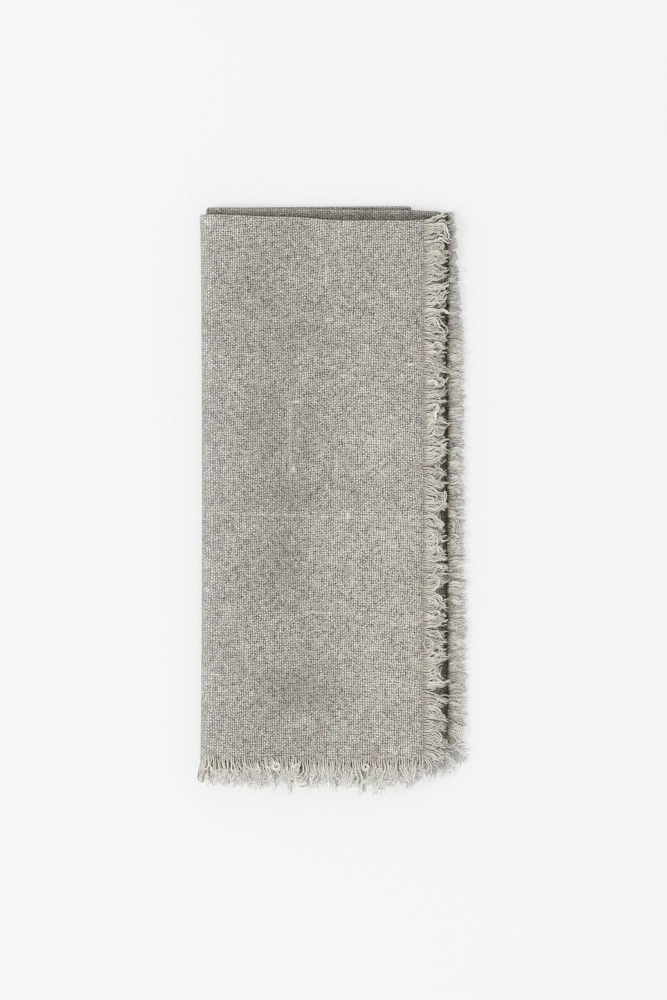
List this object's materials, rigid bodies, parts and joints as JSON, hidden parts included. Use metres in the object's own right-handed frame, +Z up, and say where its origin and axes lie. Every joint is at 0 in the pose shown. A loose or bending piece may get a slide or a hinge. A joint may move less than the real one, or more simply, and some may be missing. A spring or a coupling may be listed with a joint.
{
  "type": "folded cloth napkin",
  "caption": "Napkin of plain-woven linen with frayed edges, folded flat into a long narrow pack; it wipes hands and dresses a table setting.",
  "frame": {"origin": "under the middle of the folded napkin, on the surface that it lies on", "axes": "+Z up out of the front face, +Y from the frayed foot to the top fold, +X from the left folds to the frayed right side"},
  "size_m": [0.1172, 0.2544, 0.0119],
  "materials": {
    "linen_cloth": "matte plain-woven natural linen, grey-beige",
    "linen_yarn": "matte loose linen yarn, paler than the weave"
  },
  "bodies": {
    "root": {"napkin_cloth": "linen_cloth", "fringe_foot_outer": "linen_yarn", "fringe_foot_inner": "linen_yarn", "fringe_side_front": "linen_yarn", "fringe_side_second": "linen_yarn"}
  },
  "joints": []
}
